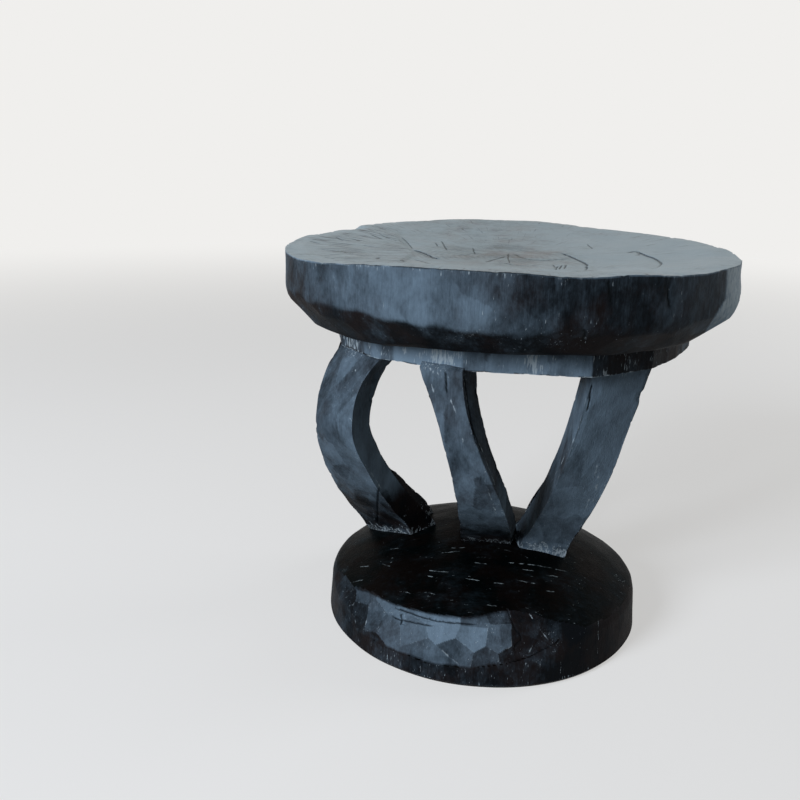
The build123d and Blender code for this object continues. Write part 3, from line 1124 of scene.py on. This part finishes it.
# How each strut is dressed. Painted light and shade are given for the outer, right, inner and left
# sides, and then for the outer and right sides near the foot, which are mostly painted darker.
# The ridge runs down the outer side: how far across, how high.
STRUT_DRESS = {
    "strut_left_front": dict(side_light_tones=(0.36, 0.5, 0.05, 0.2), low_side_light_tones=(0.08, -0.3), ridge=(0.34, 2.2)),
    "strut_centre_front": dict(side_light_tones=(0.38, 0.26, 0.0, 0.2), low_side_light_tones=(0.02, 0.1), ridge=(0.72, 0.7)),
    "strut_right_front": dict(side_light_tones=(0.56, 0.1, 0.0, 0.36), low_side_light_tones=(0.5, 0.1), ridge=(0.3, 0.6)),
    "strut_left_rear": dict(side_light_tones=(0.05, -0.05, -0.1, 0.0), low_side_light_tones=(-0.2, -0.3), ridge=(0.6, 1.2)),
    "strut_right_rear": dict(side_light_tones=(0.25, 0.1, 0.0, 0.1), low_side_light_tones=(0.1, 0.0), ridge=(0.4, 1.6)),
    "strut_centre_rear": dict(side_light_tones=(0.25, 0.1, 0.0, 0.1), low_side_light_tones=(0.1, 0.0), ridge=(0.6, 1.6)),
}
FOOT_CROWN = 64.5
FOOT_ROUND = 416.0          # twice the radius of the foot's dome


def station_corners(shape, station):
    """A strut's corners in plan at one station: outer left, outer right, and the two behind."""
    top_reach = COLLAR_REACH - shape["top_inset"]
    foot_reach = FOOT_REACH - shape["foot_inset"]
    reach = top_reach + STATION_SHARES[station] * (foot_reach - top_reach) + shape["bows"][station]
    bearing = shape["bearings"][station]
    middle = STRUT_AXIS + toward(bearing) * reach
    half_face = toward(bearing + shape["turns"][station] + 90) * (shape["widths"][station] / 2)
    left_side = toward(bearing + shape["left_cut"]) * shape["depth"]
    right_side = toward(bearing + shape["right_cut"]) * shape["depth"]
    outer_left = middle - half_face
    outer_right = middle + half_face
    return outer_left, outer_right, outer_right - right_side, outer_left - left_side


def corner_curves(shape):
    """Knots up the strut, and each corner's places at them."""
    last = len(STATION_SHARES) - 1
    knots = [COLLAR_BOTTOM + share * (FOOT_STATION - COLLAR_BOTTOM) for share in STATION_SHARES]
    rings = [station_corners(shape, station) for station in range(last + 1)]
    knots.append(FOOT_END)
    leant = [
        foot + (foot - above) * shape.get("foot_lean", 0.0) * (index in (0, 3))
        for index, (foot, above) in enumerate(zip(rings[-1], rings[-2]))
    ]
    rings.append(leant)
    return knots[::-1], [list(corner) for corner in zip(*rings[::-1])]


def strut_lanes(shape):
    """Side and share across it of each column of faces round a strut."""
    widths = (max(shape["widths"]), shape["depth"], max(shape["widths"]), shape["depth"])
    lanes = []
    for side, width in enumerate(widths):
        steps = round(width / STRUT_FACE)
        lanes += [(side, step / steps) for step in range(steps)]
    return lanes


# Cracks and scratches as rows of view positions, like those of the seat and the foot.
CRACKS_ON_STRUTS = {
    "strut_left_front": (((378, 483), (378.5, 495), (377.6, 510), (378, 527)),),
    "strut_centre_front": (
        ((464, 374), (467, 395), (471, 420), (476, 446)),
        ((470, 420), (476, 436), (481, 452)),
        ((445, 371), (446, 383), (446.5, 394)),
    ),
    "strut_right_front": (((592, 384), (590, 398), (587.5, 412)),),
}
SCRATCHES_ON_STRUTS = {
    "strut_left_front": (
        ((351, 372), (356, 370)), ((353, 385), (353, 398)), ((367, 380), (364, 391)),
        ((363, 462), (375, 478), (384, 494)), ((372, 505), (375, 526)), ((350, 418), (352, 421)),
    ),
    "strut_centre_front": (
        ((463.5, 376), (466, 398), (470, 416)), ((477, 438), (487, 462), (496, 488)),
        ((450, 398), (457, 416)), ((461, 432), (464, 446)), ((484, 478), (497, 517)),
        ((431, 384), (434, 394)), ((447, 372), (449, 378)),
    ),
    "strut_right_front": (
        ((587, 392), (583, 412), (577, 433)), ((577, 434), (563, 460), (549, 486)),
        ((601, 463), (598, 480), (595, 492)), ((598, 462), (594, 478)), ((590, 497), (583, 515)),
        ((562, 470), (556, 482)), ((540, 512), (530, 532)), ((600, 478), (592, 505)),
    ),
}
# Where a hollow is torn out of a strut's edge: view position, reach and depth.
TEARS_ON_STRUTS = {
    "strut_left_front": ((374.5, 378, 5, 1.6), (371, 398, 4, 1.3), (367, 372, 4, 1.2), (373, 436, 5, 1.0)),
    "strut_left_rear": ((390, 468, 6, 2.2), (404, 480, 5, 1.4), (420, 494, 6, 2.2), (428, 503, 5, 1.6)),
    "strut_centre_front": ((476, 392, 4, 0.9), (496, 470, 5, 0.9)),
    "strut_right_front": ((640, 397, 5, 1.0), (560, 425, 5, 0.9), (545, 470, 5, 1.0)),
}


def strut_block(shape, ridge, lanes):
    """A strut's form in lanes of faces, with the ridge down its outer side."""
    knots, curves = corner_curves(shape)
    rows = round((STRUT_TOP - FOOT_END) / STRUT_FACE)
    heights = [STRUT_TOP + (FOOT_END - STRUT_TOP) * row / rows for row in range(rows + 1)]
    rings = [[smooth_curve(knots, curve, height) for curve in curves] for height in heights]
    ridge_share, ridge_height = ridge

    def place_at(column, row):
        side, share = lanes[column]
        ring = rings[row]
        place = ring[side].lerp(ring[(side + 1) % 4], share)
        back = (ring[2] + ring[3] - ring[0] - ring[1]).normalized()
        if side == 0:
            across = share / ridge_share if share < ridge_share else (1 - share) / (1 - ridge_share)
            place -= back * ridge_height * across
        place.z = heights[row]
        place += back * max(0.0, place.z - COLLAR_BOTTOM - 0.3) * STRUT_TUCK
        return place * MM

    return wrapped_grid(len(lanes), rows, place_at)


def weather_strut(bm, dress, lanes, seed):
    """Ragged edges, painted light and shade for each side, and fibres that fray up from the foot."""
    lane, tone, fray = layers_of(bm, "lane", "tone", "fray")
    ridge_share, ridge_height = dress["ridge"]
    for vert in bm.verts:
        side, share = lanes[round(vert[lane]) % len(lanes)]
        height = vert.co.z / MM
        edge = min(share, 1 - share)
        ragged = unevenness(vert.co, 2.2, seed + 3.0, 1.8)
        ragged = blend_step(ragged + 0.5 * unevenness(vert.co, 8, seed), 0.1, 1.0)
        vert.co -= vert.normal * ragged * RAGGED_EDGE * MM * blend_step(edge, 0.09, 0.0)
        # Painted light and shade: each side of the strut is painted lighter or darker for how light falls
        # on it.
        lit_tone = dress["side_light_tones"][side]
        if side < 2:
            low = blend_step(height, LOW_LIGHT_END[side], LOW_LIGHT_FULL)
            lit_tone += (dress["low_side_light_tones"][side] - lit_tone) * low
        if side == 0 and ridge_height > DEEP_RIDGE and share < ridge_share:
            lit_tone -= 0.04
        vert[tone] = lit_tone + 0.12 * unevenness(vert.co, 9, seed, 2.0)
        over_foot = height - FOOT_CROWN + (vert.co.xy.length / MM) ** 2 / FOOT_ROUND
        plan = Vector((vert.co.x, vert.co.y, 0))
        tongue = 4 + 15 * blend_step(unevenness(plan, 2.6, seed), -0.3, 0.6)
        frayed = 1.25 * blend_step(over_foot, tongue, 0.5 * tongue)
        frayed += 0.6 * blend_step(height, 194, 206)
        vert[fray] = max(frayed, 0.5 * blend_step(edge, 0.16, 0.0))


def carve_strut(name, seed):
    """Carves one strut, tears its edges and opens its cracks."""
    lanes = strut_lanes(STRUTS[name])
    bm = strut_block(STRUTS[name], STRUT_DRESS[name]["ridge"], lanes)
    roughen(bm, depth=0.45, size=20, seed=seed, stretch=2.2)
    scallop(bm, depth=0.65, size=13, seed=seed, stretch=2.6, shading=0.1)
    weather_strut(bm, STRUT_DRESS[name], lanes, seed)
    surface = BVHTree.FromBMesh(bm)
    for across, down, reach, depth in TEARS_ON_STRUTS.get(name, ()):
        spot = seen_on(surface, across, down)[0]
        if spot is not None:
            nibble(bm, spot, reach, depth)
    if name in CRACKS_ON_STRUTS:
        split_open(bm, traced(bm, *CRACKS_ON_STRUTS[name]), width=0.85, depth=1.2)
    if name in SCRATCHES_ON_STRUTS:
        draw_on(bm, "wear", traced(bm, *SCRATCHES_ON_STRUTS[name]), width=0.9, strength=0.9)
    wear_edges(bm, low=0.25, high=0.8)
    finished(bm, name, [stained_side], 20)


# ---------------------------------------------------------------- foot
FOOT_MIDDLE = Vector((-5.6, -8.1, 0)) * MM
FOOT_COLUMNS = 460
FOOT_ROWS = 132             # from the top's middle to the ground
FLOOR_ROWS = 4              # and from there to the middle of the ground face
FOOT_SOUNDING = 0.25        # height of the point that the rows fan out from

# The adzed area at the front lies under this line of view positions.
ADZED_TOP = (
    (340, 584), (350.6, 588), (368, 592), (388.4, 602.2), (407.8, 609.4), (434.3, 614.5),
    (462.9, 617.6), (479.2, 616.5), (495.5, 612.4), (513.9, 611), (536.3, 615.5), (560, 624),
)
ADZED_BOTTOM = (
    (340, 606), (352, 628), (370, 638), (385, 646), (425, 662), (440, 665), (470, 668), (505, 664),
    (530, 656), (560, 640),
)
# Places across the view: where the adzed area may lie, its middle, how far out from that its
# scoops fade away, and where the band under it is frayed.
ADZED_SPAN = (335, 565)
ADZED_MIDDLE = 450
ADZED_FADE = (112, 100)
FRAYED_SPAN = (340, 380, 540, 600)
SCOOP_ROUND = 45.0          # radius of the adze's sweep
# Each flat of the adze: view position of its middle, how its face tips to the right and up in
# degrees, how deep it is cut, and its tone, which is painted light: high where the flat faces the
# light at the left, nil on the right.
ADZE_FLATS = (
    (350, 598, -6, 2, 0.5, -0.05), (352, 616, -4, -4, 0.4, 0.02), (367, 599, -4, 6, 0.6, 0.26),
    (366, 616, -6, -2, 0.5, 0.08), (382, 604, 6, 8, 0.8, 0.42), (382, 621, -8, 0, 0.8, 0.26),
    (378, 638, -2, -8, 0.6, 0.1), (397, 614, 4, 6, 0.7, 0.5), (397, 634, -8, 0, 0.9, 0.36),
    (420, 618, 0, 8, 0.6, 0.56), (416, 634, -6, 2, 1.0, 0.48), (424, 650, -4, -8, 1.1, 0.36),
    (438, 630, 4, 8, 1.2, 0.72), (448, 621, 0, 6, 0.7, 0.4), (462, 633, 8, 0, 1.0, 0.6),
    (464, 652, -6, -4, 1.1, 0.3), (444, 655, 4, -8, 1.0, 0.4), (480, 628, -6, 6, 0.9, 0.34),
    (492, 638, 8, 0, 1.0, 0.36), (484, 655, 4, -8, 1.0, 0.18), (502, 654, 8, -6, 0.9, 0.0),
    (500, 622, 0, 8, 0.7, 0.2), (512, 638, 10, -2, 0.9, 0.06), (524, 622, 0, 8, 0.8, 0.02),
    (530, 644, 8, -4, 0.8, 0.0), (546, 632, 10, 0, 0.7, 0.0),
)
# Ledges where the grain split, cracks, scratches and worn places, as rows of view positions.
SPLIT_LEDGES = (
    ((393.5, 607.3), (407.8, 611.4), (426.1, 617.6), (442.4, 621.6), (462.9, 622.7), (481.2, 623.7)),
    ((391.4, 616.5), (411.8, 621.6), (434.3, 625.7)),
    ((401.5, 614), (401.8, 625)),
)
FOOT_CRACKS = (
    ((506.7, 607.3), (511.8, 621.6), (515.9, 629.8), (524.1, 640), (513.9, 645.1), (515.9, 653.3)),
)
FOOT_SCRATCHES = (
    ((380.2, 550.6), (399.6, 548.2)), ((359.8, 566.5), (369, 566.1)),
    ((381.2, 563.5), (391.4, 566.9)), ((428.2, 570.6), (450.6, 572.2)),
    ((423, 575.1), (434.3, 577.1)), ((449.6, 548.2), (469, 547.1)), ((474, 562.4), (487.3, 564)),
    ((495.5, 547.8), (512, 551.5), (530.2, 558.4)), ((503.7, 562), (540.4, 565.5), (571, 572.7)),
    ((460.8, 577.8), (481.2, 580.8)), ((487.3, 578.8), (491, 575.1)),
    ((493.5, 582.9), (505.7, 583.9)), ((514.9, 579.8), (536.3, 583.9)),
    ((544.5, 575.1), (558.8, 576.7)), ((398.6, 591), (414.9, 594.1)),
    ((424.1, 592), (436.3, 594.7)), ((348.6, 582.9), (363.9, 579.8)),
    FOOT_CRACKS[0],
    ((597.6, 615.5), (598.6, 629.8), (597.6, 654.3)), ((560.8, 661.4), (560.8, 673.7)),
    ((524, 607.3), (534, 611), (544.5, 616.5)), ((486, 605), (500, 607)), ((528, 612), (533, 619)),
    ((440, 553), (462, 551)), ((541, 590), (556, 592)), ((520, 569), (535, 571)),
)
WORN_BOTTOM = (
    ((558.8, 680.5), (575.1, 673.7)), ((583.3, 669.6), (599.6, 665.9)), ((411, 672), (419, 675)),
)


def foot_block():
    """The foot's form, in rows that fan out from a point on the ground under its middle."""
    surface = solid_surface("base")
    hub = FOOT_MIDDLE + Vector((0, 0, FOOT_SOUNDING * MM))
    reach = 0.3

    def place_at(column, row):
        out = toward(crowded_bearing(column, FOOT_COLUMNS))
        if row > FOOT_ROWS:
            return FOOT_MIDDLE + out * 0.1 * (FOOT_ROWS + FLOOR_ROWS - row) / FLOOR_ROWS
        turn = math.pi / 2 * (1 - row / FOOT_ROWS)
        beam = out * math.cos(turn) + Vector((1e-7, 1e-7, math.sin(turn)))
        place = surface.ray_cast(hub + beam * reach, -beam)[0]
        if row == FOOT_ROWS:
            place.z = 0.0
        return place

    return wrapped_grid(FOOT_COLUMNS, FOOT_ROWS + FLOOR_ROWS, place_at)


def inside_adzed(place):
    """How far inside the adzed area a place at the front is seen, in view pixels."""
    across, down = seen_at(place)
    if place.y > -0.02 or not ADZED_SPAN[0] < across < ADZED_SPAN[1]:
        return -100.0
    return min(down - along(across, ADZED_TOP), along(across, ADZED_BOTTOM) - down)


def adze_scoops(bm):
    """Middle, slope, depth and painted light of each scoop."""
    surface = BVHTree.FromBMesh(bm)
    scoops = []
    for across, down, tip_right, tip_up, depth, shade in ADZE_FLATS:
        place, normal = seen_on(surface, across, down)
        aside = Vector((-normal.y, normal.x, 0)).normalized()
        upward = normal.cross(aside)
        slope = aside * math.tan(math.radians(tip_right)) + upward * math.tan(math.radians(tip_up))
        scoops.append((place, slope, depth, shade))
    return scoops


def adze_front(bm):
    """Cuts shallow scoops at the front, which meet in crisp ridges, and marks where they lie.

    The foot has no lanes, so that mark says how much of a scoop there is.
    """
    tone, fray, wear, cut = layers_of(bm, "tone", "fray", "wear", "lane")
    scoops = adze_scoops(bm)
    for vert in bm.verts:
        vert[cut] = 0.0
        if vert.normal.y > 0.2 or vert.co.z < 1.5 * MM:
            continue
        inside = inside_adzed(vert.co)
        across, down = seen_at(vert.co)
        share = blend_step(inside, -1.2, 1.6) * blend_step(abs(across - ADZED_MIDDLE), *ADZED_FADE)
        if share <= 0:
            if -100 < inside and along(across, ADZED_BOTTOM) <= down:
                vert[fray] = 0.3 * plateau(across, *FRAYED_SPAN)
                vert[tone] = 0.1 * vert[fray]
            continue
        ranked = []
        for place, slope, depth, shade in scoops:
            offset = (vert.co - place) / MM
            cut_here = depth + slope.dot(offset) - offset.length_squared / (2 * SCOOP_ROUND)
            ranked.append((cut_here, shade))
        ranked.sort(reverse=True)
        (deepest, shade), (next_deepest, _) = ranked[:2]
        vert.co -= vert.normal * (deepest + 0.4) * MM * share
        ridge = blend_step(deepest - next_deepest, 0.25, 0.0)
        vert[cut] = share
        # Painted light: each flat's tone.
        vert[tone] = shade * share
        vert[wear] = 0.6 * ridge * share * (0.4 + 1.3 * unevenness(vert.co, 6, 3.0))
        vert[fray] = 0.25 * share
    bm.normal_update()


def carve_base():
    """Carves the foot, with smaller faces where the adze cut and where scratches lie."""
    bm = foot_block()
    finer(bm, lambda place: place.z > 2 * MM and inside_adzed(place) > -3)
    roughen(bm, depth=0.35, size=30, seed=9.2)
    scallop(
        bm, depth=0.3, size=15, seed=4.0, stretch=1.0, shading=0.06,
        chosen=lambda place: 1.0 if place.z > 4 * MM else 0.0,
    )
    adze_front(bm)
    ledges = traced(bm, *SPLIT_LEDGES)
    cracks = traced(bm, *FOOT_CRACKS)
    scratches = traced(bm, *FOOT_SCRATCHES)
    worn = traced(bm, *WORN_BOTTOM)

    def scratched(place):
        near = scratches.near(place)[0] < 1.3 * MM
        return near and inside_adzed(place) < -3 and place.z > 4 * MM

    finer(bm, scratched, cuts=2)
    flake(bm, ledges, drop=1.3, reach=4.0, side=1)
    split_open(bm, ledges, width=1.2, depth=1.1, shade=0.95)
    split_open(bm, cracks, width=1.0, depth=0.8, shade=0.6)
    draw_on(bm, "wear", scratches, width=0.5, strength=1.15)
    draw_on(bm, "fray", worn, width=5.0, strength=1.3)
    wear_edges(bm, low=0.2, high=0.7)
    # Painted shade: the foot's uncut sides are painted darker towards the right, away from the light.
    cut, tone = layers_of(bm, "lane", "tone")
    for vert in bm.verts:
        if vert.normal.z < 0.75 and vert[cut] == 0:
            vert[tone] -= 0.4 * blend_step(bearing_of(vert.co - FOOT_MIDDLE), 15, 50)
    # The dome's top takes the wood painted as in shade; the sides and adzed flats take the long-grain
    # wood.
    for face in bm.faces:
        adzed = sum(vert[cut] for vert in face.verts) > 1.2
        face.material_index = 1 if adzed or face.normal.z < 0.66 else 0
    finished(bm, "base", [foot_dome_painted_shade, stained_side], 13)


carve_seat()
carve_collar()
for strut_number, strut_name in enumerate(STRUTS):
    carve_strut(strut_name, 11.0 + 3.7 * strut_number)
carve_base()


# ---------------------------------------------------------------- studio
PALE = "#f0efed"
NEAR_FLOOR = 0.7            # metres out from the stool where the floor starts to fade away
FAR_FLOOR = 2.6


def sight_share(tree):
    """1 for rays that come from the eye, straight or by way of a gloss or a clear body."""
    path = node_in(tree, "ShaderNodeLightPath")
    mirrored = node_in(
        tree, "ShaderNodeMath", LARGER, _0=(path, "Is Glossy Ray"), _1=(path, "Is Transmission Ray")
    )
    return node_in(tree, "ShaderNodeMath", LARGER, _0=(path, "Is Camera Ray"), _1=(mirrored, 0))


def pale_paper():
    """Matt paper that keeps the stool's shadow and fades into the pale air behind it."""
    material, tree, shader = new_material("matt_pale_paper")
    shader.inputs["Base Color"].default_value = srgb("#a9a8a5")
    shader.inputs["Roughness"].default_value = 0.9
    shader.inputs["Specular IOR Level"].default_value = 0.05
    shader.inputs["Emission Color"].default_value = srgb(PALE)
    seen = sight_share(tree)
    lift = node_in(tree, "ShaderNodeMath", {"operation": "MULTIPLY"}, _0=(seen, 0), _1=0.56)
    tree.links.new(lift.outputs[0], shader.inputs["Emission Strength"])
    place = node_in(tree, "ShaderNodeTexCoord")
    reach = node_in(
        tree, "ShaderNodeVectorMath", {"operation": "LENGTH"}, Vector=(place, "Object")
    )
    far = node_in(
        tree, "ShaderNodeMapRange", SMOOTH,
        Value=(reach, "Value"), From_Min=NEAR_FLOOR, From_Max=FAR_FLOOR,
    )
    glow = node_in(tree, "ShaderNodeEmission", Color=srgb(PALE), Strength=(seen, 0))
    surface = node_in(tree, "ShaderNodeMixShader", _0=(far, 0), _1=(shader, 0), _2=(glow, 0))
    output = next(node for node in tree.nodes if node.type == "OUTPUT_MATERIAL")
    tree.links.new(surface.outputs[0], output.inputs["Surface"])
    return material


def studio_floor():
    """A wide sheet of paper under the stool, which isn't part of it."""
    bm = bmesh.new()
    bmesh.ops.create_grid(bm, x_segments=2, y_segments=2, size=6.0)
    mesh = bpy.data.meshes.new("studio_floor")
    bm.to_mesh(mesh)
    bm.free()
    mesh.materials.append(pale_paper())
    floor = bpy.data.objects.new("studio_floor", mesh)
    bpy.context.collection.objects.link(floor)


def soft_lamp(name, place, size, watts, code):
    """A round lamp that faces the middle of the stool."""
    lamp = bpy.data.lights.new(name, "AREA")
    lamp.shape = "DISK"
    lamp.size = size
    lamp.energy = watts
    lamp.color = srgb(code)[:3]
    holder = bpy.data.objects.new(name, lamp)
    holder.location = place
    aim = Vector((0, 0, 0.15)) - Vector(place)
    holder.rotation_euler = aim.to_track_quat("-Z", "Y").to_euler()
    bpy.context.collection.objects.link(holder)


studio_floor()
soft_lamp("window_lamp", (-1.5, -1.35, 1.0), size=0.9, watts=54, code="#e9f1ff")
soft_lamp("side_lamp", (1.7, 0.5, 0.8), size=0.8, watts=10, code="#f6f9ff")

world = bpy.data.worlds.new("studio_air")
world.use_nodes = True
sky = world.node_tree
sky.nodes.clear()
soft_air = node_in(sky, "ShaderNodeBackground", Color=srgb("#eef2f8"), Strength=0.12)
seen_air = node_in(sky, "ShaderNodeBackground", Color=srgb(PALE), Strength=1.0)
air = node_in(
    sky, "ShaderNodeMixShader", _0=(sight_share(sky), 0), _1=(soft_air, 0), _2=(seen_air, 0),
)
node_in(sky, "ShaderNodeOutputWorld", Surface=(air, 0))
bpy.context.scene.world = world
bpy.context.scene.view_settings.view_transform = "Standard"
